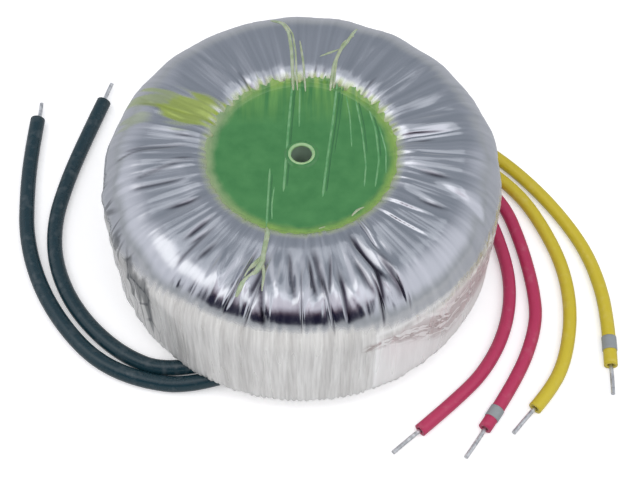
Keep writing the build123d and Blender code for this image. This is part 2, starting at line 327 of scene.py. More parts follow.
@dataclass(frozen=True)
class WoundFilm(Finish):
    """Clear polyester film wound in many layers: mirror bright, with a fine grain along the turns."""

    silver: tuple[str, str] = ("C9CCD3", "DADCE3")
    milk: tuple[str, str] = ("CBC9C6", "F0EFEC")
    stain: str = "9DB048"
    backing: str = "FAF9F8"
    # brownish painted shade in the crinkles of the creased strip
    fold: str = "866C69"
    # dark grey of the painted shade on the crumpled facets
    crumple: str = "55585C"
    # dark colour of the painted shade in deep folds
    hollow: str = "3C3546"
    turn_width: float = 2.6
    ring_radius: float = 50.0
    # what the mesh of the film notes about each place on it
    notes: Sequence[str] = ("turn_shade", "wall", "stain", "label", "edge", "crease", "flow", "crumple",
                            "facet", "shade")

    def strokes(self, add: Callable, wide: Socket, flow: Socket, crease: Socket) -> Socket:
        """Thin lines and pale washes of painted shade, drawn out along the creased strip where the film
        crinkles.

        Args:
            add: Function that adds a node.
            wide: Place round the ring.
            flow: Height above the middle of the strip.
            crease: Share of the crease at each place.

        Returns:
            Strength of the painted shade along the crinkles.
        """
        drawn = add("CombineXYZ", {0: wide, 1: flow})
        lined = add("Mapping", {"Vector": drawn, "Scale": (0.34, 0.42, 0.0)})
        marble = add("TexNoise", {"Vector": lined, "Scale": 1.0, "Detail": 2.0, "Distortion": 1.1})
        vein = add("Math", {0: marble, 1: 0.5}, operation="SUBTRACT")
        thin = add("Math", {0: vein}, operation="ABSOLUTE")
        line = add("MapRange", {0: thin, 1: 0.02, 2: 0.05, 3: 0.72, 4: 0.0})
        wash = add("MapRange", {0: marble, 1: 0.5, 2: 0.56, 3: 0.1, 4: 0.5})
        stroke = add("Math", {0: line, 1: wash}, operation="MAXIMUM")
        return add("Math", {0: stroke, 1: crease}, operation="MULTIPLY")

    def facets(self, add: Callable, grid: Socket, crumple: Socket, facet: Socket) -> Socket:
        """Painted shade where the film is crumpled: flat angular facets with thin dark edges.

        Args:
            add: Function that adds a node.
            grid: Place on the film, measured in turns.
            crumple: Share of the crumpled part at each place.
            facet: Share of the facet that is painted dark all over.

        Returns:
            Strength of the painted shade.
        """
        slanted = add("Mapping", {"Vector": grid, "Rotation": (0.0, 0.0, 0.35), "Scale": (0.5, 3.4, 0.0)})
        edges = add("TexVoronoi", {"Vector": slanted, "Scale": 1.0}, out="Distance",
                    feature="DISTANCE_TO_EDGE")
        rim = add("MapRange", {0: edges, 1: 0.015, 2: 0.05, 3: 0.6, 4: 0.0})
        edged = add("Math", {0: rim, 1: crumple}, operation="MULTIPLY")
        return add("Math", {0: facet, 1: 0.72, 2: edged}, operation="MULTIPLY_ADD", use_clamp=True)

    def build(self) -> Material:
        """Layered film: silvery and sharp on top, milky in upright bands on the wall.

        Returns:
            The material.
        """
        material, add, shader = self.start()
        axes = add("SeparateXYZ", {0: add("TexCoord", out="Object")}).node.outputs
        angle = add("Math", {0: axes["Y"], 1: axes["X"]}, operation="ARCTAN2")
        flat = add("CombineXYZ", {0: axes["X"], 1: axes["Y"]})
        radius = add("VectorMath", {0: flat}, out="Value", operation="LENGTH")
        # turns run across the ring, so the grain is fine round it and long across it
        wide = add("Math", {0: angle, 1: self.ring_radius / self.turn_width}, operation="MULTIPLY")
        rise, reach = (add("Math", {0: way, 1: 22.0}, operation="MULTIPLY") for way in (axes["Z"], radius))
        grid = add("CombineXYZ", {0: wide, 1: rise, 2: reach})
        grain = add("TexNoise", {"Vector": grid, "Scale": 4.0, "Detail": 3.0, "Roughness": 0.55})
        bands = add("TexNoise", {"Vector": grid, "Scale": 1.1, "Detail": 1.0})
        share = {name: add("Attribute", out="Fac", attribute_name=name) for name in self.notes}
        silver = add("ValToRGB", {0: bands}, [(0.3, self.silver[0]), (0.72, self.silver[1])])
        fine = add("MapRange", {0: grain, 1: 0.3, 2: 0.7, 3: 0.0, 4: 0.6})
        streak = add("Math", {0: share["turn_shade"], 1: 0.4, 2: fine}, operation="MULTIPLY_ADD")
        milk = add("ValToRGB", {0: streak}, [(0.1, self.milk[0]), (0.85, self.milk[1])])
        # the label shows through whiter, under a strip of crinkled film along its top edge, and a painted
        # highlight runs along its left and top edges
        painted_edge_highlight = add("Math", {0: share["edge"], 1: 0.8}, operation="MULTIPLY")
        under = add("Math", {0: share["label"], 1: 0.65, 2: painted_edge_highlight}, operation="MULTIPLY_ADD",
                    use_clamp=True)
        crinkle_shade = self.strokes(add, wide, share["flow"], share["crease"])
        painted_facet_shade = self.facets(add, grid, share["crumple"], share["facet"])
        # painted shade is mixed into the colour along the crinkles, on the crumpled facets and in deep folds
        colour = silver
        for amount, over in ((share["wall"], milk), (under, linear(self.backing)),
                             (crinkle_shade, linear(self.fold)), (painted_facet_shade, linear(self.crumple)),
                             (share["shade"], linear(self.hollow)), (share["stain"], linear(self.stain))):
            colour = add("Mix", {0: amount, 6: colour, 7: over}, out=2, data_type="RGBA")
        mirror = 1.0
        for name, left in (("stain", 0.35), ("wall", 0.32), ("label", 0.5)):
            cut = add("MapRange", {0: share[name], 3: 1.0, 4: left})
            mirror = add("Math", {0: mirror, 1: cut}, operation="MULTIPLY")
        gloss = add("MapRange", {0: bands, 1: 0.3, 2: 0.7, 3: 0.15, 4: 0.25})
        duller = add("Math", {0: share["wall"], 1: 0.1, 2: gloss}, operation="MULTIPLY_ADD")
        bump = add("Bump", {"Strength": 0.28, "Distance": 0.06 * MM, "Height": grain})
        connect(shader, {"Base Color": colour, "Metallic": mirror, "Roughness": duller, "Normal": bump})
        return material


@dataclass(frozen=True)
class CastResin(Finish):
    """Green casting resin, poured and cured: glossy, deep green, yellower where it runs thin."""

    deep: str = "3B7942"
    thin: str = "82A34E"
    hazy: str = "8B9F74"
    veins: tuple[str, str] = ("38763F", "74A553")
    bore: str = "A9BFAC"
    bore_radius: float = 3.4
    mouth: tuple[float, float] = (41.8, 41.4)
    thin_edge: tuple[float, float] = (21.4, 24.5)

    def far_shade(self, add: Callable, place: Socket, y: Socket, edge: Socket) -> tuple[Socket, ...]:
        """Lets folds of the film show through where the resin thins out at the far side.

        Args:
            add: Function that adds a node.
            place: Place on the object.
            y: Its distance behind the axis.
            edge: Share of the thin edge at each place.

        Returns:
            How much shows through, its colour, and what is left of the thin edge between the folds.
        """
        drawn = add("Mapping", {"Vector": place, "Scale": (560.0, 52.0, 60.0)})
        folds = add("TexNoise", {"Vector": drawn, "Scale": 1.0, "Detail": 2.0})
        depth = add("MapRange", {0: y, 1: 9 * MM, 2: 21 * MM, 3: 0.0, 4: 0.75})
        streaks = add("MapRange", {0: folds, 1: 0.45, 2: 0.6, 3: 1.0, 4: 0.0})
        deeper = add("Math", {0: streaks, 1: depth}, operation="MULTIPLY")
        left = add("Math", {0: 1.0, 1: deeper}, operation="SUBTRACT")
        veined = add("ValToRGB", {0: folds}, [(0.36, self.veins[0]), (0.66, self.veins[1])])
        return depth, veined, add("Math", {0: edge, 1: left}, operation="MULTIPLY")

    def build(self) -> Material:
        """Poured resin with a thin yellow-green edge and faint drag lines in its skin.

        Returns:
            The material.
        """
        material, add, shader = self.start({"IOR": 1.54, "Coat Weight": 0.4, "Coat Roughness": 0.04})
        place = add("TexCoord", out="Object")
        axes = add("SeparateXYZ", {0: place}).node.outputs
        flat = add("CombineXYZ", {0: axes["X"], 1: axes["Y"]})
        radius = add("VectorMath", {0: flat}, out="Value", operation="LENGTH")
        clouds = add("TexNoise", {"Vector": place, "Scale": 260.0, "Detail": 3.0})
        uneven = add("Math", {0: clouds, 1: 2.2 * MM, 2: radius}, operation="MULTIPLY_ADD")
        start, end = self.thin_edge
        edge = add("MapRange", {0: uneven, 1: start * MM, 2: end * MM}, interpolation_type="SMOOTHSTEP")
        deep = add("ValToRGB", {0: clouds}, [(0.3, self.deep), (0.7, self.colour)])
        depth, veined, thinned = self.far_shade(add, place, axes["Y"], edge)
        lime = add("MapRange", {0: axes["X"], 1: -20 * MM, 2: -8 * MM})
        rim = add("Mix", {0: lime, 6: linear(self.hazy), 7: linear(self.thin)}, out=2, data_type="RGBA")
        bored = add("Math", {0: radius, 1: self.bore_radius * MM}, operation="LESS_THAN")
        down = add("MapRange", {0: axes["Z"], 1: self.mouth[0] * MM, 2: self.mouth[1] * MM})
        inside = add("Math", {0: bored, 1: down}, operation="MULTIPLY")
        colour = deep
        for amount, over in ((depth, veined), (thinned, rim), (inside, linear(self.bore))):
            colour = add("Mix", {0: amount, 6: colour, 7: over}, out=2, data_type="RGBA")
        stretch = add("Mapping", {"Vector": place, "Scale": (420.0, 22.0, 60.0)})
        drag = add("TexNoise", {"Vector": stretch, "Scale": 1.0, "Detail": 2.0})
        bump = add("Bump", {"Strength": 0.25, "Distance": 0.3 * MM, "Height": drag})
        connect(shader, {"Base Color": colour, "Normal": bump})
        return material


@dataclass(frozen=True)
class Mottled(Finish):
    """A plain moulded, drawn or taped finish with fine mottling, as of the layers under the film."""

    second: str = "808080"
    # patches in a metre, and how fine they break up
    grain: float = 400.0
    detail: float = 3.0
    # noise value at which the main colour is reached
    full: float = 0.65
    bump: float = 0.2
    relief: float = 0.08

    def gloss(self) -> dict[str, float]:
        """Further shader sockets and their values."""
        return {}

    def build(self) -> Material:
        """Two near colours in patches, with a slight relief.

        Returns:
            The material.
        """
        material, add, shader = self.start(self.gloss())
        mottle = add("TexNoise", {"Vector": add("TexCoord", out="Object"), "Scale": self.grain,
                                  "Detail": self.detail})
        shade = add("ValToRGB", {0: mottle}, [(0.35, self.second), (self.full, self.colour)])
        bump = add("Bump", {"Strength": self.bump, "Distance": self.relief * MM, "Height": mottle})
        connect(shader, {"Base Color": shade, "Normal": bump})
        return material


@dataclass(frozen=True)
class ThinResin(Mottled):
    """The resin where it has wicked or run thin: yellow-green and half clear, deeper in patches."""

    grain: float = 420.0
    detail: float = 2.0
    bump: float = 0.3
    relief: float = 0.2

    def gloss(self) -> dict[str, float]:
        """Clear and glossy, with some light inside."""
        return {"IOR": 1.54, "Subsurface Weight": 0.15, "Coat Weight": 0.5}


@dataclass(frozen=True)
class Tinned(Mottled):
    """Hot-tinned copper wire: bright, with soft draw marks and dull spots."""

    metallic: float = 1.0
    second: str = "C4C6C9"
    grain: float = 900.0
    full: float = 0.6
    bump: float = 0.3
    relief: float = 0.04


@dataclass(frozen=True)
class Sleeving(Finish):
    """Extruded PVC sleeving: satin, with faint scuffs and dust."""

    scuff: str = "FFFFFF"

    def build(self) -> Material:
        """Soft satin plastic with small scuffs that show in the highlights.

        Returns:
            The material.
        """
        material, add, shader = self.start({"IOR": 1.53})
        place = add("TexCoord", out="Object")
        clouds = add("TexNoise", {"Vector": place, "Scale": 420.0, "Detail": 5.0})
        scuffs = add("MapRange", {0: clouds, 1: 0.55, 2: 0.8, 3: 0.0, 4: 0.06})
        shade = add("Mix", {0: scuffs, 6: linear(self.colour), 7: linear(self.scuff)}, out=2,
                    data_type="RGBA")
        low, high = self.roughness - 0.06, self.roughness + 0.08
        gloss = add("MapRange", {0: clouds, 1: 0.3, 2: 0.7, 3: low, 4: high})
        grit = add("TexNoise", {"Vector": place, "Scale": 1800.0, "Detail": 2.0})
        bump = add("Bump", {"Strength": 0.2, "Distance": 0.05 * MM, "Height": grit})
        connect(shader, {"Base Color": shade, "Roughness": gloss, "Normal": bump})
        return material


# ------------------------------ film
@dataclass(frozen=True)
class Places:
    """Places on the film, by their angle in radians and three distances in millimetres."""

    angle: np.ndarray
    radius: np.ndarray
    height: np.ndarray
    along: np.ndarray

    @property
    def degrees(self) -> np.ndarray:
        """Angles round the ring in degrees."""
        return np.degrees(self.angle)


@dataclass(frozen=True)
class Gather:
    """One fold that the film makes as it is drawn over the ring."""

    angle: float
    start: float
    end: float
    width: float
    depth: float
    slant: float
    lean: float
    # strength of the painted shade along the fold's line
    shade: float = 0.0

    def window(self, at: Places, fade: float) -> np.ndarray:
        """Where the fold runs across the film: 1 inside its length, dying out over the fade."""
        return span(at.along, self.start - 3, self.start + 2, self.end - fade, self.end)

    def reach(self, at: Places) -> np.ndarray:
        """How far to the side of the fold's line each place lies.

        Args:
            at: Places on the film.

        Returns:
            Distances in widths of the fold, above 0 on its steep side.
        """
        off = (at.angle - self.angle - self.slant * (at.along - self.start) + math.pi) % FULL_TURN - math.pi
        return off * at.radius / self.width * self.lean


class Section:
    """A section that is drawn on from point to point, by radius and height in millimetres."""

    def __init__(self, radius: float, height: float) -> None:
        """Starts the section at a point."""
        self.bm = bmesh.new()
        self.last = self.bm.verts.new(Vector((radius, 0, height)) * MM)

    def straight(self, radius: float, height: float, steps: int) -> None:
        """Draws on in a straight run.

        Args:
            radius: Radius at its end.
            height: Height at its end.
            steps: Edges in the run.
        """
        step = (Vector((radius, 0, height)) * MM - self.last.co) / steps
        for _ in range(steps):
            before = self.last.co.copy()
            self.last = bmesh.ops.extrude_vert_indiv(self.bm, verts=[self.last])["verts"][0]
            self.last.co = before + step

    def bend(self, radius: float, height: float, steps: int) -> None:
        """Draws on round a quarter turn.

        Args:
            radius: Radius of the bend's centre from the axis.
            height: Height of its centre.
            steps: Edges in the bend.
        """
        turned = bmesh.ops.spin(self.bm, geom=[self.last], cent=Vector((radius, 0, height)) * MM,
                                axis=(0, 1, 0), angle=-FULL_TURN / 4, steps=steps)
        self.last = turned["geom_last"][0]


@dataclass
class FilmWrap:
    """Film wound over the whole ring, in folds that run across it."""

    radius: float = 50.0
    height: float = 44.0
    eye: float = 19.5
    shoulder: float = 12.0
    foot: float = 10.0
    brow: float = 9.0
    eye_slope: float = 4.5
    drawn_in: float = 0.55
    turns: int = 196
    turn_slant: float = 0.0009
    steps: int = 1240
    seed: int = 11
    gathers: list[Gather] = field(default_factory=list)
    # angle, start, end, width, depth, slant, lean and painted shade of the folds that stand out
    deep_folds: Sequence[tuple[float, ...]] = (
        (-12.4, 11, 18, 0.9, 0.2, -0.004, 1, 0.85), (-27.4, 13, 20, 0.8, 0.2, 0.001, 1, 0.7),
        (10.8, 6, 17, 0.3, 0.1, -0.002, 1, 0.8), (5.5, 9, 14, 0.5, 0.1, 0.0, 1, 0.6),
        (170.6, 8, 13, 0.5, 0.12, 0.0, -1, 0.7), (-175.8, 8, 13, 0.5, 0.12, 0.0, -1, 0.65),
        (-151, 9.5, 17.5, 0.85, 0.2, -0.004, -1, 0.85), (-137.3, 10.5, 19, 0.75, 0.22, 0.001, -1, 0.9),
        (-133.5, 13, 19, 0.7, 0.2, -0.002, -1, 0.8), (-127, 14.5, 21, 0.85, 0.18, -0.003, -1, 0.75),
        (-105.5, 14.5, 25, 0.35, 0.2, -0.0187, -1, 0.7), (-57, 4, 17, 0.4, 0.3, -0.0024, 1, 0.35),
        (-58.6, 19, 25, 1.2, 0.3, -0.004, 1, 0.9), (-65.7, 20, 38, 0.4, 0.34, -0.0015, 1, 0.85),
        (-110, 12, 32, 0.4, 0.42, -0.0025, -1, 0.7), (-104, 17, 36, 0.3, 0.3, -0.002, -1, 0.6),
        (-90, 16, 36, 0.25, 0.25, 0.0, 1, 0.6), (-82, 18, 37, 0.3, 0.3, 0.001, -1, 0.7),
        (-58, 31, 36, 0.3, 0.15, -0.003, 1, 0.7), (122.8, 2, 11, 0.5, 0.24, 0.0, 1, 0.5),
        (112, 3, 7, 0.5, 0.15, 0.0, -1, 0.6), (106, 3, 7, 0.6, 0.15, 0.0, 1, 0.6),
        (82, 4, 9, 0.4, 0.2, 0.0, 1, 0.7), (77, 4, 8, 0.6, 0.2, 0.0, -1, 0.6),
        (50, 5, 11, 0.5, 0.24, 0.0, -1, 0.5),
    )
    # count, from and to angle, start, reach, width, depth and painted shade of the folds that are drawn by
    # lot
    kinds: Sequence[tuple] = (
        (14, (-180, 180), (0, 8), (10, 24), (0.5, 1.0), (0.05, 0.14), (0, 0)),
        (28, (-180, 180), (-4, 3), (4, 10), (0.5, 1.1), (0.1, 0.3), (0, 0)),
        (16, (-124, -56), (12, 17), (9, 12), (0.8, 1.6), (0.25, 0.5), (0, 0)),
        (13, (-113, -58), (8, 18), (9, 16), (0.5, 1.2), (0.2, 0.4), (0.7, 1.0)),
        (16, (-116, -58), (17, 22), (12, 16), (0.3, 0.6), (0.04, 0.13), (0, 0)),
        (14, (152, 232), (3, 14), (14, 26), (1.8, 3.6), (0.1, 0.24), (0, 0)),
        (7, (152, 228), (6, 16), (12, 22), (0.4, 0.8), (0.05, 0.12), (0.35, 0.65)),
        (10, (-46, 40), (2, 16), (14, 24), (1.4, 3.0), (0.14, 0.32), (0, 0)),
        (4, (-60, 30), (1, 12), (10, 18), (0.35, 0.6), (0.15, 0.3), (0, 0)),
        (30, (-180, 180), (30, 34), (10, 20), (0.4, 0.9), (0.03, 0.1), (0, 0)),
    )
    slant_spread: float = 0.0035
    edge_spread: float = 0.62
    # middle, half its width, top and low point of each facet painted dark as shade, in degrees and
    # millimetres
    painted_shade_facets: Sequence[tuple[float, ...]] = (
        (-146.6, 2.6, 37.5, 17.5), (-142.8, 3.2, 35.5, 22.0), (-138.9, 2.6, 37.0, 11.0),
        (-154.0, 2.0, 38.5, 32.5),
    )
    # middle, half its size both ways, strength, raggedness and fade of each patch of the smear
    smears: Sequence[tuple[float, ...]] = (
        (-28, 12.6, 8.5, 6.0, 0.9, 0.14, 0.3), (-36.5, 16.6, 10.5, 4.0, 0.62, 0.3, 0.5),
        (-41.5, 10.5, 6.0, 2.8, 0.4, 0.3, 0.6),
    )

    def __post_init__(self) -> None:
        """Draws the folds once, so that everything that lies on the film meets the same surface."""
        draw = np.random.default_rng(self.seed)
        for count, sector, start, reach, width, depth, shade in self.kinds:
            for _ in range(count):
                first = draw.uniform(*start)
                self.gathers.append(Gather(
                    math.radians(draw.uniform(*sector)), first, first + draw.uniform(*reach),
                    draw.uniform(*width), draw.uniform(*depth), draw.normal(0, self.slant_spread),
                    draw.choice((-1, 1)), draw.uniform(*shade)))
        for angle, *rest in self.deep_folds:
            self.gathers.append(Gather(math.radians(angle), *rest))
        uneven = self.edge_spread * draw.uniform(-0.5, 0.5, self.turns)
        edges = (np.arange(self.turns) + uneven) / self.turns
        self.edges = np.concatenate([edges, [edges[0] + 1]])
        self.crown = draw.uniform(0.35, 1.0, self.turns)
        self.tilt = draw.uniform(-1.0, 1.0, self.turns)
        self.shade = draw.uniform(0.0, 1.0, self.turns)

    def places(self, x: np.ndarray, y: np.ndarray, height: np.ndarray) -> Places:
        """Works out where places lie round the ring and how far over the film.

        Args:
            x: Places along X, in millimetres.
            y: Places along Y, in millimetres.
            height: Heights, in millimetres.

        Returns:
            The places. Along is below 0 in the eye, 0 at its edge and 42 at the top of the wall.
        """
        radius = np.hypot(x, y)
        side = np.where(radius > (self.radius + self.eye) / 2, 1.0, -1.0)
        return Places(np.arctan2(y, x), radius, height, radius - self.eye + side * (self.height - height))

    def turn_at(self, at: Places) -> tuple[np.ndarray, np.ndarray]:
        """Which turn of film lies on top at a place, and how far across that turn the place is.

        Args:
            at: Places on the film.

        Returns:
            Turn numbers, and shares from 0 to 1.
        """
        slanted = (at.angle + self.turn_slant * at.along) / FULL_TURN
        slanted = (slanted - self.edges[0]) % 1.0 + self.edges[0]
        turn = np.clip(np.searchsorted(self.edges, slanted, side="right") - 1, 0, self.turns - 1)
        width = self.edges[turn + 1] - self.edges[turn]
        return turn, np.clip((slanted - self.edges[turn]) / width, 0, 1)

    def rumple(self, number: int, at: Places, count: tuple[int, int], length: float) -> np.ndarray:
        """Ripples of the film, each number with a draw of its own.

        Args:
            number: Which of the film's ripples are meant.
            at: Places on the film.
            count: Fewest and most waves in one turn round the ring.
            length: Shortest wave across the film, in millimetres.

        Returns:
            Values of about -1 to 1.
        """
        return ripples(at.angle, at.along, count, length, self.seed + number)

    def sink(self, at: Places) -> np.ndarray:
        """How far the film lies outside its even shape, less what that shape is drawn in.

        Args:
            at: Places on the film.

        Returns:
            Distance along the outward normal, in millimetres.
        """
        turn, share = self.turn_at(at)
        on_wall = smooth(at.along, 38, 43)
        low = smooth(-at.height, -10, -2) * smooth(at.radius, 34, 42)
        top = smooth(at.along, -4, 4) * (1 - on_wall)
        label = self.label_share(at)
        flat = on_wall * (1 - 0.7 * label)
        # each turn of film is a low ridge that stands a little askew
        crown = 1 - np.abs(2 * share - 1) ** 1.6
        out = (0.02 * top + 0.07 * flat + 0.9 * low) * self.crown[turn] * crown
        out += (0.02 * top + 0.08 * flat) * self.tilt[turn] * (share - 0.5)
        out += 0.14 * label
        lively = self.liveliness(at)
        calm = 1 - 0.7 * (1 - smooth(at.along, 6, 13)) * smooth(-np.sin(at.angle), 0.3, 0.8)
        for number, (tall, count, length) in enumerate((
                (0.24 * top * calm * lively, (4, 26), 30), (0.022 * top * (0.2 + lively), (40, 110), 24),
                (0.08 * on_wall, (6, 30), 18)), 1):
            out += tall * self.rumple(number, at, count, length)
        for gather in self.gathers:
            window, reach = gather.window(at, 7), gather.reach(at)
            near = (window > 0) & (np.abs(reach) < 6)
            reach = reach[near]
            # a sharp hollow with a softer ridge beside it
            shape = 0.75 * bell(reach, 1.3, 1.1) - bell(reach, 0, np.where(reach > 0, 0.55, 1.2))
            out[near] += gather.depth * window[near] * shape
        crumple = span(at.degrees, -178, -170, -150, -138) * smooth(at.along, 33, 40)
        out += 0.4 * crumple * (1 - np.abs(self.rumple(4, at, (12, 40), 14)))
        crease = (at.degrees > -100) * self.crease_share(at)
        out += 0.26 * crease * (1 - np.abs(self.rumple(5, at, (20, 80), 7)))
        # the even shape is drawn in except at the resin, so that ridges keep within the body's size
        return out - self.drawn_in * smooth(at.along, 1.5, 12)

    def painted_fold_shade(self, at: Places) -> np.ndarray:
        """How much painted shade each place gets from lying deep in the shade of a fold.

        Args:
            at: Places on the film.

        Returns:
            Share of the full painted shade, 0 to 1.
        """
        shade = np.zeros_like(at.angle)
        for gather in (g for g in self.gathers if g.shade):
            dark = gather.shade * gather.window(at, 4) * bell(gather.reach(at), -0.1, 0.75)
            shade = np.maximum(shade, dark)
        return shade

    def liveliness(self, at: Places) -> np.ndarray:
        """How strongly the film is rumpled on each side of the ring, as a share of its most."""
        return np.interp(at.degrees % 360, [0, 30, 60, 120, 150, 180, 225, 240, 300, 320, 345, 360],
                         [0.9, 0.65, 0.42, 0.5, 0.8, 0.95, 0.9, 0.6, 0.5, 0.5, 0.8, 0.9])

    def label_share(self, at: Places) -> np.ndarray:
        """Where the label under the film keeps it smooth, from 0 away from it to 1 on it."""
        round_it = span(at.degrees, -69.9, -69.3, -19, -17)
        return round_it * span(at.height, 7.5, 8.5, 32.2, 33.0) * smooth(at.radius, 46, 48)

    def strip_height(self, at: Places) -> np.ndarray:
        """Height at which the middle of the creased strip along the label's top runs."""
        return np.interp(at.degrees, [-74, -65, -60, -55, -50, -45, -30],
                         [29.3, 30.5, 29.0, 27.5, 24.5, 22.5, 26.0])

    def crease_share(self, at: Places) -> np.ndarray:
        """Where the film is creased along the label's top edge.

        Args:
            at: Places on the film.

        Returns:
            1 on the creased strip, 0 away from it.
        """
        wide = np.interp(at.degrees, [-74, -68, -62, -55, -50, -45, -20],
                         [1.2, 1.8, 3.2, 4.5, 6.5, 8.5, 9.0])
        strip = bell(at.height, self.strip_height(at), wide, power=4)
        return strip * span(at.degrees, -74.5, -72, -12, 2) * smooth(at.radius, 42, 46)

    def label_edge_highlight(self, at: Places) -> np.ndarray:
        """Where the film stands off along the label's left and top edges and gets a painted highlight for
        the light it catches.

        Args:
            at: Places on the film.

        Returns:
            1 on the edge lines, 0 away from them.
        """
        left = bell(at.degrees, -69.5, 0.4) * span(at.height, 7, 9, 34.6, 35.2)
        top = bell(at.height, 34.6, 0.6) * span(at.degrees, -70.2, -69.2, -48, -34)
        return np.maximum(left, top) * smooth(at.radius, 44, 47)

    def crumple_share(self, at: Places) -> np.ndarray:
        """Where the film is crumpled into facets on the far left, from the shoulder down.

        Args:
            at: Places on the film.

        Returns:
            1 on the crumpled part, 0 away from it.
        """
        turns = [-172, -158, -150, -144, -138, -132]
        middle = np.interp(at.degrees, turns, [37, 37, 34, 29, 22, 5])
        deep = np.interp(at.degrees, turns, [2, 3, 4, 9, 12, 5])
        zone = bell(at.height, middle, deep, power=4)
        return zone * span(at.degrees, -178, -168, -138, -133) * smooth(at.radius, 42, 46)

    def facet_share(self, at: Places) -> np.ndarray:
        """Where facets of the crumpled part are painted dark as shade: tongues that hang from the shoulder.

        Args:
            at: Places on the film.

        Returns:
            1 on the facets, 0 away from them.
        """
        share = np.zeros_like(at.angle)
        for middle, half, top, low in self.painted_shade_facets:
            aside = np.abs(at.degrees - middle)
            width = half * np.clip((at.height - low) / (top - low), 0.01, 1) ** 0.6
            edge = top - 2.5 * aside / half
            tongue = smooth(width - aside, -0.3, 0.3) * smooth(edge - at.height, -1, 0.5)
            share = np.maximum(share, tongue)
        return share * smooth(at.radius, 42, 46)

    def stain_share(self, at: Places) -> np.ndarray:
        """Where resin has run over the film and stains it.

        Args:
            at: Places on the film.

        Returns:
            Share of the stain, 0 to 1.
        """
        ragged = self.rumple(6, at, (20, 110), 14)
        x, y = at.radius * np.cos(at.angle), at.radius * np.sin(at.angle)
        smear = np.zeros_like(x)
        for mid_x, mid_y, half_x, half_y, strength, rough, fade in self.smears:
            patch = 1 - np.hypot((x - mid_x) / half_x, (y - mid_y) / half_y)
            smear = np.maximum(smear, strength * smooth(patch + rough * ragged, 0.0, fade))
        rim = 1 - smooth(at.along - (0.3 + 0.5 * smooth(y, -5, 15)) * ragged, 2.2, 4.6)
        return np.clip(smear * smooth(at.height, 30, 38) + 0.7 * rim * smooth(at.height, 36, 40), 0, 1)

    def wall_share(self, at: Places) -> np.ndarray:
        """Where the turns lie flat on each other and look milky: lower on the sides than in front.

        Args:
            at: Places on the film.

        Returns:
            1 on the wall, 0 on the top.
        """
        start = np.interp(at.degrees, [-180, -150, -122, -80, -70, -60, -45, 180],
                          [37, 35, 31.3, 31.3, 34, 36, 37, 37])
        fade = np.interp(at.degrees, [-150, -122, -80, -60, -30], [7, 3.2, 3.2, 5, 6])
        ragged = 0.5 * self.rumple(9, at, (60, 200), 40)
        return smooth(at.along + ragged, start, start + fade) * smooth(at.radius, 38, 44)

    def surface(self, x: np.ndarray, y: np.ndarray) -> np.ndarray:
        """Height of the film's top at each place.

        Args:
            x: Places along X, in millimetres.
            y: Places along Y, in millimetres.

        Returns:
            Heights in millimetres.
        """
        radius = np.hypot(x, y)
        fall = np.clip(self.eye + self.brow - radius, 0, self.brow)
        rise = np.clip(radius - (self.radius - self.shoulder), 0, self.shoulder)
        even = self.height - np.where(fall > 0, self.brow - np.sqrt(self.brow ** 2 - fall ** 2),
                                      self.shoulder - np.sqrt(self.shoulder ** 2 - rise ** 2))
        return even + self.sink(self.places(x, y, even))

    def ring(self) -> Mesh:
        """Spins the even section round the axis.

        Returns:
            The ring, without its folds.
        """
        section = Section(self.eye + self.eye_slope, 0)
        section.straight(self.radius - self.foot, 0, 3)
        section.bend(self.radius - self.foot, self.foot, 9)
        section.straight(self.radius, self.height - self.shoulder, 15)
        section.bend(self.radius - self.shoulder, self.height - self.shoulder, 14)
        section.straight(self.eye + self.brow, self.height, 8)
        section.bend(self.eye + self.brow, self.height - self.brow, 9)
        section.straight(self.eye, self.eye_slope, 1)
        section.straight(self.eye + self.eye_slope, 0, 1)
        bmesh.ops.remove_doubles(section.bm, verts=section.bm.verts, dist=1e-6)
        spun(section.bm, self.steps)
        section.bm.normal_update()
        return section.bm

    def build(self) -> Piece:
        """Draws the folds into the ring and notes on it where the film looks different.

        Returns:
            The film.
        """
        bm = self.ring()
        flat = read_places(bm)
        at = self.places(*flat.T)
        seated = smooth(at.height, 0.0, 2.5) * smooth(at.along, -16, -9)
        moved = flat + np.array([tuple(v.normal) for v in bm.verts]) * (self.sink(at) * seated)[:, None]
        moved[:, 2] = np.clip(moved[:, 2], 0, self.height)
        far = np.hypot(moved[:, 0], moved[:, 1])
        moved[:, :2] *= np.minimum(1, self.radius / np.maximum(far, 1e-6))[:, None]
        move_to(bm, moved)
        piece = mesh_object("film", bm)
        shares = {
            "turn_shade": self.shade[self.turn_at(at)[0]], "wall": self.wall_share(at),
            "stain": self.stain_share(at), "label": self.label_share(at), "shade": self.painted_fold_shade(at),
            "crease": self.crease_share(at), "flow": at.height - self.strip_height(at),
            "edge": self.label_edge_highlight(at), "crumple": self.crumple_share(at), "facet": self.facet_share(at),
        }
        for name, values in shares.items():
            layer = piece.data.attributes.new(name, "FLOAT", "POINT")
            layer.data.foreach_set("value", values.astype(np.float32))
        return piece

    def dress(self, piece: Piece) -> None:
        """Gives the film its finish and its place in the frame."""
        seat(piece, WoundFilm("wound_polyester_film", "C9CBD2", 0.14, metallic=1.0).build())
        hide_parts("film_wrap")


# ------------------------------ resin
@dataclass(frozen=True)
class Run:
    """One string or drag line of resin, as places seen from above and a radius."""

    places: Sequence[tuple[float, float]]
    radius: float


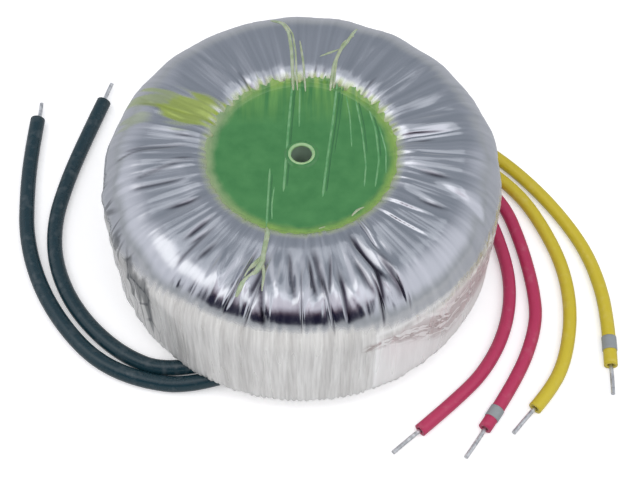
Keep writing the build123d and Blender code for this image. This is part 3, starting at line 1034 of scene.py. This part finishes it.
@dataclass
class ResinRuns:
    """Strings that the poured resin drew over the film, and drag lines in its own skin."""

    film: FilmWrap
    level: float = 41.8
    shore: float = 22.4
    step: float = 1.6
    taper: float = 0.45
    strings: Sequence[Run] = (
        Run([(-8.0, 43.4), (-5.1, 41.8), (-3.2, 37.7), (-2.5, 31.6), (-2.2, 23.4), (-2.1, 20.0)], 0.5),
        Run([(-4.6, 41.9), (-2.3, 37.6), (-1.5, 31.5), (-1.2, 23.4), (-1.0, 20.0)], 0.28),
        Run([(-0.4, 35.0), (0.4, 28.3), (0.9, 21.7), (1.0, 19.6)], 0.32),
        Run([(14.4, 39.6), (12.0, 34.9), (9.8, 31.5), (8.2, 26.6), (7.2, 19.8)], 0.5),
        Run([(13.6, 36.6), (10.7, 34.2), (9.2, 30.0), (8.0, 20.0)], 0.3),
        Run([(4.7, 29.6), (7.3, 30.9), (9.9, 32.1)], 0.34),
        Run([(-8.2, -21.2), (-7.8, -23.7), (-8.6, -28.6), (-9.0, -31.9), (-10.6, -34.5), (-13.3, -37.1),
             (-14.8, -40.2)], 0.7),
        Run([(-9.0, -31.0), (-8.5, -35.3), (-8.9, -39.2)], 0.45),
        Run([(-8.8, -29.5), (-11.4, -32.4), (-13.0, -35.6)], 0.4),
        Run([(-8.6, -29.0), (-9.6, -31.4), (-11.6, -33.4)], 0.5),
        Run([(11.4, -18.9), (13.1, -16.3), (15.3, -15.5)], 0.4),
        Run([(2.4, -22.3), (4.8, -21.4), (6.9, -20.8)], 0.32),
    )
    # ridges drawn in the resin's skin, with a painted highlight in their lighter colour
    drags: Sequence[Run] = (
        Run([(-2.3, 22.4), (-3.1, 10.6), (-3.8, -1.7), (-4.4, -12.0)], 0.42),
        Run([(9.0, 22.0), (7.8, 10.5), (6.2, -1.8), (4.9, -13.5)], 0.42),
        Run([(-7.6, -3.1), (-8.0, -13.4), (-8.3, -21.5)], 0.36),
        Run([(-0.4, 22.0), (-0.6, 7.4)], 0.3),
        Run([(13.4, 18.0), (14.9, 7.3), (15.6, -3.3), (14.9, -10.7)], 0.3),
        Run([(16.6, 14.7), (18.3, 7.3), (18.8, -1.9), (17.5, -10.7)], 0.34),
        Run([(11.0, 19.6), (12.0, 12.0), (12.3, 1.2)], 0.26),
        Run([(19.0, 9.4), (20.6, 1.1), (20.3, -6.8)], 0.26),
        Run([(-6.4, -8.5), (-7.1, -15.0), (-6.9, -20.0)], 0.24),
    )
    # dark lines of painted shade in the hollows beside the drag lines
    grooves: Sequence[Run] = (
        Run([(-1.5, 21.6), (-2.3, 10.6), (-3.0, -1.5), (-3.6, -11.0)], 0.4),
        Run([(9.8, 21.0), (8.6, 10.4), (7.0, -1.8), (5.8, -12.5)], 0.4),
        Run([(10.5, 20.8), (9.4, 10.3), (7.8, -1.2)], 0.26),
        Run([(-7.0, -4.5), (-7.4, -13.5), (-7.6, -21.0)], 0.34),
        Run([(13.9, 18.5), (15.4, 9.3), (16.1, -1.3)], 0.3),
        Run([(17.4, 14.0), (19.0, 6.9), (19.3, -2.4)], 0.3),
    )

    def lay(self, run: Run, depth: float) -> list[Point]:
        """Follows the resin and the film along a run.

        Args:
            run: The run.
            depth: Share of its radius that its middle lies under the surface.

        Returns:
            Points in millimetres.
        """
        places = np.array(run.places)
        gone = gone_along(places)
        stations = np.linspace(0, gone[-1], max(4, int(gone[-1] / self.step)))
        x, y = (np.interp(stations, gone, places[:, axis]) for axis in (0, 1))
        height = np.where(np.hypot(x, y) < self.shore, self.level, self.film.surface(x, y))
        height = np.minimum(height - depth * run.radius, self.film.height - run.radius)
        return list(zip(x.tolist(), y.tolist(), height.tolist()))

    def build(self) -> list[Piece]:
        """Lays the strings on the film, the drag lines in the resin, and dark lines of painted shade in the
        grooves beside them.

        Returns:
            The pieces.
        """
        # resin run thin over the film; its own skin drawn into ridges, coloured lighter as a painted
        # highlight; and dark lines of painted shade in the hollows beside them
        thin = ThinResin("thin_pale_resin", "B9BF9E", 0.2, second="9BA97F").build()
        skin = ThinResin("dragged_skin_painted_highlight", "7DB079", 0.2, second="5A9C5D").build()
        deep = ThinResin("painted_groove_shade", "3A7641", 0.2, second="35703C").build()
        pieces = []
        for name, runs, depth, finish in (("string", self.strings, 0.3, thin),
                                          ("drag_line", self.drags, 0.7, skin),
                                          ("groove_shade", self.grooves, 0.82, deep)):
            thick = max(run.radius for run in runs)
            piece = curve_object(f"resin_{name}s", [self.lay(run, depth) for run in runs], thick,
                                 widths=[run.radius / thick for run in runs], taper=self.taper,
                                 rings=3, steps=4)
            seat(piece, finish)
            pieces.append(piece)
        return pieces


@dataclass
class ResinRim:
    """Thin edge where the resin has climbed the film and run out along its folds."""

    film: FilmWrap
    inner: float = 21.2
    outer: float = 23.3
    level: float = 41.8
    film_from: float = 22.2
    thickness: float = 0.22
    sunk: float = 0.04
    steps: int = 720
    rings: int = 14

    def build(self) -> Piece:
        """Spins a flat ring, then lays it on the resin and up the film.

        Returns:
            The rim.
        """
        section = Section(self.inner, self.level)
        section.straight(self.outer, self.level, self.rings)
        bm = section.bm
        spun(bm, self.steps)
        if sum(face.normal.z for face in bm.faces) < 0:
            bmesh.ops.reverse_faces(bm, faces=bm.faces)
        x, y, _ = read_places(bm).T
        angle, flat = np.arctan2(y, x), np.zeros_like(x)
        share = (np.hypot(x, y) - self.inner) / (self.outer - self.inner)
        ragged = ripples(angle, flat, (9, 60), 10, self.film.seed + 7)
        spikes = np.maximum(ripples(angle, flat, (60, 130), 10, self.film.seed + 8), 0)
        far_side = smooth(np.sin(angle), -0.2, 0.9)
        reach = self.outer - self.inner
        reach = reach + (0.3 + 0.35 * far_side) * ragged + (0.03 + 0.45 * far_side) * spikes
        radius = self.inner + share * reach
        x, y = radius * np.cos(angle), radius * np.sin(angle)
        on_film = np.maximum(self.film.surface(x, y), self.level)
        ground = np.where(radius > self.film_from, on_film, self.level)
        lift = self.thickness * np.sin(math.pi * np.clip(share, 0, 1)) ** 0.6 - self.sunk
        move_to(bm, np.stack([x, y, np.minimum(ground + lift, self.film.height)], axis=1))
        rim = mesh_object("resin_rim", bm)
        # the cast resin itself, thinned out to a feather edge
        seat(rim, CastResin("feathered_resin_edge", "48854C", 0.16).build())
        return rim


@dataclass
class BoreLip:
    """Bead of resin that stands round the mouth of the fixing bore."""

    radius: float = 3.0
    thick: float = 0.5
    level: float = 41.75

    def build(self) -> Piece:
        """Spins a round section about the axis.

        Returns:
            The bead.
        """
        bm = bmesh.new()
        middle = Matrix.Translation(Vector((self.radius, 0, self.level)) * MM)
        bmesh.ops.create_circle(bm, segments=14, radius=self.thick * MM,
                                matrix=middle @ Matrix.Rotation(FULL_TURN / 4, 4, "X"))
        spun(bm, 96)
        lip = mesh_object("bore_lip", bm)
        # the resin bead painted pale: a painted highlight round the bore's mouth
        seat(lip, ThinResin("bore_lip_painted_highlight", "A9C98F", 0.2, second="93BB80").build())
        return lip


# ------------------------------ leads
class Colour(Enum):
    """Colours of the sleeving, with the name, colour, slot and roughness of each."""

    BLACK = ("black", "17323B", Slot.BLACK, 0.26)
    RED = ("red", "B32F58", Slot.RED, 0.36)
    YELLOW = ("yellow", "C9B62E", Slot.YELLOW, 0.36)


@dataclass
class FlyingLead:
    """One sleeved lead, from where it leaves the film to its bare tinned end."""

    winding: str
    number: int
    colour: Colour
    diameter: float
    bare: float
    route: Sequence[Point]
    band: Optional[tuple[float, float]] = None
    wall: float = 0.8
    wire: float = 1.1
    tuck: float = 3.0
    band_wall: float = 0.15
    band_stand: float = 0.17

    def along(self, line: np.ndarray, back: float) -> np.ndarray:
        """Point on a line at a distance back from its end.

        Args:
            line: Points of the line, in millimetres.
            back: Distance from its end.

        Returns:
            The point.
        """
        gone = gone_along(line)
        return np.array([np.interp(gone[-1] - back, gone, line[:, axis]) for axis in range(3)])

    def hollow(self, piece: Piece, wall: float) -> bpy.types.SolidifyModifier:
        """Gives an open tube its wall, inwards.

        Args:
            piece: The tube.
            wall: Wall in millimetres.

        Returns:
            The modifier.
        """
        thick = piece.modifiers.new("wall", "SOLIDIFY")
        thick.thickness = wall * MM
        thick.offset = -1
        return thick

    def bare_end(self, line: np.ndarray, finish: Material) -> Piece:
        """Makes the bare wire, which rests on the sleeve's wall and comes out a little askew.

        Args:
            line: Points that the sleeve follows.
            finish: Material of the wire.

        Returns:
            The wire.
        """
        end = line[-1]
        heading = end - self.along(line, 2.0)
        heading /= np.linalg.norm(heading)
        rest = self.diameter / 2 - self.wall - self.wire / 2
        low = np.array([0.0, 0.0, -rest])
        side = np.cross(heading, (0, 0, 1.0)) * rest * (0.5 if self.number == 1 else -0.5)
        reach = heading * self.bare
        points = [end - heading * self.tuck + 0.3 * low, end + 0.6 * low + 0.4 * side,
                  end + 0.5 * reach + 0.5 * low + side, end + reach + 0.6 * side]
        wire = curve_object(f"{self.winding}_wire_{self.number}", [[tuple(p) for p in points]],
                            self.wire / 2, rings=4, steps=8)
        seat(wire, finish)
        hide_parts(f"{self.winding}_wire_end_{self.number}")
        return wire

    def wrap_band(self, line: np.ndarray, finish: Material) -> Piece:
        """Puts the marker band round the sleeve.

        Args:
            line: Points that the sleeve follows.
            finish: Material of the band.

        Returns:
            The band.
        """
        back, width = self.band
        stations = [self.along(line, back + width * (1 - share)) for share in (0, 0.25, 0.5, 0.75, 1)]
        band = curve_object(f"{self.winding}_band", [[tuple(p) for p in stations]],
                            self.diameter / 2 + self.band_stand, caps=False, rings=7, steps=4)
        self.hollow(band, self.band_wall)
        seat(band, finish)
        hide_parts(f"{self.winding}_marker_band")
        return band

    def build(self, finishes: dict[str, Material]) -> Piece:
        """Args:
            finishes: Ready materials by name.

        Returns:
            The sleeve.
        """
        sleeve = curve_object(f"{self.winding}_lead_{self.number}", [self.route], self.diameter / 2,
                              caps=False, rings=7, steps=20)
        line = line_of(sleeve)
        self.hollow(sleeve, self.wall).use_even_offset = True
        name, _, slot, _ = self.colour.value
        seat(sleeve, finishes[name])
        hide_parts(f"{self.winding}_sleeve_{self.number}")
        pieces = [self.bare_end(line, finishes["wire"])]
        if self.band:
            pieces.append(self.wrap_band(line, finishes["band"]))
        return sleeve


LEADS = (
    FlyingLead("primary", 1, Colour.BLACK, 4.1, 6.0, (
        (-15.5, -39.6, 4.5), (-28, -43, 2.05), (-41.6, -40.9, 2.05), (-53.1, -35.2, 2.05),
        (-62.9, -24.3, 2.05), (-70.1, -12, 2.05), (-74.8, 2.2, 2.05), (-76.2, 16.5, 2.05),
        (-76.6, 30, 2.05), (-76.1, 42.2, 2.05))),
    FlyingLead("primary", 2, Colour.BLACK, 4.1, 7.0, (
        (-21.3, -36.7, 4.5), (-33.7, -39.1, 2.05), (-46.7, -33.8, 2.05), (-58.8, -21.7, 2.05),
        (-65.9, -7.7, 2.05), (-67.8, 6.3, 2.05), (-65.6, 20.3, 2.05), (-61.9, 34.6, 2.05),
        (-57.7, 48.6, 2.05))),
    FlyingLead("red", 1, Colour.RED, 3.4, 9.0, (
        (38.2, 20.5, 4.35), (49, 13, 1.7), (53, 0.2, 1.7), (54.9, -13.4, 1.7), (52.5, -26.8, 1.7),
        (46.2, -38.8, 1.7), (37.4, -47.6, 1.7), (28.7, -55.1, 1.7))),
    FlyingLead("red", 2, Colour.RED, 3.4, 9.2, (
        (32.9, 28.6, 4.35), (44.8, 24, 1.7), (54.9, 13.2, 1.7), (58.7, -0.9, 1.7), (60.7, -15.2, 1.7),
        (60.4, -26, 1.7), (54.1, -41.3, 1.7), (44.7, -54.7, 1.7)), band=(3.2, 3.2)),
    FlyingLead("yellow", 1, Colour.YELLOW, 3.5, 8.8, (
        (26.5, 35.1, 4.2), (38.4, 33.4, 1.75), (49.7, 25.6, 1.75), (59.6, 15.6, 1.75), (65.4, 3.9, 1.75),
        (69.3, -8.9, 1.75), (69.8, -22.4, 1.75), (66.8, -35.8, 1.75), (62.3, -44.1, 1.75),
        (57.6, -49.4, 1.75))),
    FlyingLead("yellow", 2, Colour.YELLOW, 3.5, 8.0, (
        (17.9, 40.2, 4.2), (29.9, 41.2, 1.75), (43.4, 36.6, 1.75), (54.6, 28.3, 1.75), (65.3, 16, 1.75),
        (73.6, 2.2, 1.75), (77.6, -9.4, 1.75), (79.2, -23.5, 1.75), (78.1, -37.6, 1.75)),
        band=(4.2, 3.8)),
)


# ------------------------------ what stays from the frame
@dataclass
class InnerParts:
    """The parts under the film and the cast centre, which keep their own solids."""

    def finishes(self) -> dict[str, Material]:
        """Makes the finish of each kept node.

        Returns:
            Materials by node name.
        """
        # wound silicon steel strip: bare grey metal with a fine mottle
        steel = Mottled("wound_silicon_steel", "8A8D90", 0.35, 1.0, "6C6F72", 900.0).build()
        # moulded nylon caps over the core: matt off-white
        cap = Mottled("moulded_nylon_cap", "D9D5C8", 0.5, 0.0, "CFCABB", 500.0).build()
        # enamelled copper: amber lacquer over bright wire
        copper = Mottled("enamelled_copper_wire", "B4632E", 0.25, 0.9, "8E4520", 1200.0).build()
        # polyester tape between the windings: glossy pale yellow
        tape = Mottled("polyester_tape", "D8B84A", 0.25, 0.0, "C9A63C", 700.0).build()
        # blank printed-label stock: plain white film
        label = Mottled("blank_label_stock", "F0EEE9", 0.4, 0.0, "E6E3DC", 300.0).build()
        # cast centre: green resin, yellower at its thin edge
        resin = CastResin("cast_green_resin", "48854C", 0.16).build()
        return {
            "core": steel, "core_cap_upper": cap, "core_cap_lower": cap, "primary_winding": copper,
            "red_secondary_winding": copper, "yellow_secondary_winding": copper,
            "primary_insulation": tape, "rating_label": label, "potting": resin,
        }

    def dress(self) -> None:
        """Gives every kept node its finish."""
        for name, finish in self.finishes().items():
            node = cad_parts[name]
            node.data.materials.clear()
            node.data.materials.append(finish)


# ------------------------------ studio
@dataclass
class Studio:
    """Pale floor, soft lamps and the camera."""

    focal: float = 72.28
    sensor: float = 36
    place: Point = (3.0, -186.0, 294.0)
    tilt: float = 0.5688
    turn: float = -0.008
    floor_half: float = 1.5
    paper: str = "CFCFCE"
    table: str = "C0C2C6"
    low: str = "B8BBBC"
    dark: str = "1B1A33"
    grey: str = "989EA6"
    pale: str = "E8E9EF"
    shade: str = "5A4554"
    blush: str = "C5BEC7"
    window: Point = (-0.47, -0.02, 0.882)
    shine: float = 1.4

    def camera(self) -> None:
        """Sets the camera."""
        data = bpy.data.cameras.new("camera")
        data.lens = self.focal
        data.sensor_width = self.sensor
        data.clip_start, data.clip_end = 0.01, 50
        camera = bpy.data.objects.new("camera", data)
        camera.location = Vector(self.place) * MM
        camera.rotation_euler = (self.tilt, 0, self.turn)
        bpy.context.scene.collection.objects.link(camera)
        bpy.context.scene.camera = camera

    def lamp(self, name: str, place: Point, size: tuple[float, float], radiance: float,
             mirrored: bool = True) -> None:
        """Hangs a soft lamp that faces the object.

        Args:
            name: Name of the lamp.
            place: Place in metres.
            size: Width and depth in metres.
            radiance: Brightness of its face.
            mirrored: Whether it shows in glossy things.
        """
        data = bpy.data.lights.new(name, "AREA")
        data.shape = "RECTANGLE"
        data.size, data.size_y = size
        data.energy = radiance * math.pi * size[0] * size[1]
        lamp = bpy.data.objects.new(name, data)
        lamp.location = place
        lamp.visible_glossy = mirrored
        lamp.rotation_euler = (-Vector(place)).to_track_quat("-Z", "Y").to_euler()
        bpy.context.scene.collection.objects.link(lamp)

    def floor(self) -> None:
        """Lays the plain pale floor, which glossy things see in even colours."""
        bm = bmesh.new()
        bmesh.ops.create_grid(bm, x_segments=1, y_segments=1, size=self.floor_half)
        bmesh.ops.translate(bm, verts=bm.verts, vec=(0, 0, CAD_LOW.z))
        floor = mesh_object("floor", bm)
        # matt white paper: pale grey-white that keeps a faint shadow
        material, add, shader = Finish("white_paper_floor", "F4F4F4", 0.9).start(
            {"Specular IOR Level": 0.0, "Emission Color": (1, 1, 1, 1)})
        rays = add("LightPath").node.outputs
        place = add("TexCoord", out="Object")
        away = add("VectorMath", {0: place}, out="Value", operation="LENGTH")
        rise = add("MapRange", {0: away, 1: 0.2, 2: 1.2, 3: 0.3, 4: 0.75})
        glow = add("Math", {0: rays["Is Camera Ray"], 1: rise}, operation="MULTIPLY")
        connect(shader, {"Emission Strength": glow})
        side = add("MapRange", {0: add("SeparateXYZ", {0: place}, out="Y"), 1: -0.16, 2: 0.0})
        beside = add("Mix", {0: side, 6: linear(self.paper), 7: linear(self.table)}, out=2, data_type="RGBA")
        mixed = add("MixShader", {0: rays["Is Glossy Ray"], 1: shader.outputs[0],
                                  2: add("Emission", {0: beside})})
        connect(material.node_tree.nodes["Material Output"], {"Surface": mixed})
        floor.data.materials.append(material)

    def world(self) -> None:
        """Lights the room: pale in front and above, grey behind, dark low down in front."""
        world = bpy.data.worlds.new("studio")
        bpy.context.scene.world = world
        world.use_nodes = True
        add = partial(add_node, world.node_tree)
        way = add("TexCoord", out="Generated")
        axes = add("SeparateXYZ", {0: way}).node.outputs
        soft = {"interpolation_type": "SMOOTHSTEP"}
        # angle in radians away from straight in front, and how far that is behind on either side
        front = add("Math", {0: axes["Y"], 1: -1.0}, operation="MULTIPLY")
        aside = add("Math", {0: axes["X"], 1: front}, operation="ARCTAN2")
        left = add("Math", {0: aside, 1: -1.0, 2: -0.35}, operation="MULTIPLY_ADD")
        off = add("Math", {0: aside, 1: left}, operation="MAXIMUM")
        behind = add("MapRange", {0: off, 1: 1.35, 2: 2.7}, **soft)
        centred = add("Math", {0: aside, 1: 0.2}, operation="ADD")
        wide = add("Math", {0: centred}, operation="ABSOLUTE")
        in_front = add("MapRange", {0: wide, 1: 0.78, 2: 0.88, 3: 1.0, 4: 0.0}, **soft)
        band = add("ValToRGB", {0: axes["Z"]}, [
            (0.36, self.low), (0.42, self.dark), (0.7, self.dark), (0.77, self.shade), (0.83, self.blush),
            (0.93, self.blush)])
        sunk = add("MapRange", {0: axes["Z"], 1: 0.1, 2: 0.42, 3: 1.0, 4: 0.0})
        # a soft window high on the left
        facing = add("VectorMath", {0: way, 1: self.window}, out="Value", operation="DOT_PRODUCT")
        glow = add("MapRange", {0: facing, 1: 0.935, 2: 0.99}, **soft)
        seen = add("LightPath", out="Is Camera Ray")
        colour = linear(self.pale)
        for amount, over in ((behind, linear(self.grey)), (sunk, linear(self.low)), (in_front, band),
                             (glow, (self.shine, self.shine, self.shine, 1)), (seen, (1, 1, 1, 1))):
            colour = add("Mix", {0: amount, 6: colour, 7: over}, out=2, data_type="RGBA")
        connect(world.node_tree.nodes["Background"], {"Color": colour})

    def build(self) -> None:
        """Sets up the camera, lamps, floor and room."""
        self.camera()
        self.lamp("overhead_softbox", (0.05, 0.0, 1.0), (1.1, 0.66), 0.3)
        self.lamp("fill_lamp", (0.1, -0.5, 1.1), (1.6, 1.2), 1.58, mirrored=False)
        self.floor()
        self.world()
        bpy.context.scene.view_settings.view_transform = "Standard"


def main() -> None:
    """Builds and dresses the transformer and sets up its studio."""
    Studio().build()
    finishes = {
        # extruded sleeving in three colours, satin
        **{name: Sleeving(f"{name}_pvc_sleeving", code, rough).build()
           for name, code, _, rough in (colour.value for colour in Colour)},
        # tinned copper: bright silver with dull spots
        "wire": Tinned("tinned_copper_wire", "F1F2F3", 0.34).build(),
        # shrunk-on marker band: plain grey plastic
        "band": Sleeving("grey_marker_sleeve", "8F9496", 0.42).build(),
    }
    for lead in LEADS:
        log.info("lead %s", lead.build(finishes).name)
    film = FilmWrap()
    piece = film.build()
    film.dress(piece)
    log.info("film %d faces", len(piece.data.polygons))
    for run in ResinRuns(film).build():
        log.info("%s", run.name)
    log.info("resin %s and %s", ResinRim(film).build().name, BoreLip().build().name)
    InnerParts().dress()
    log.info("inner parts dressed")


if __name__ == "__main__":
    main()
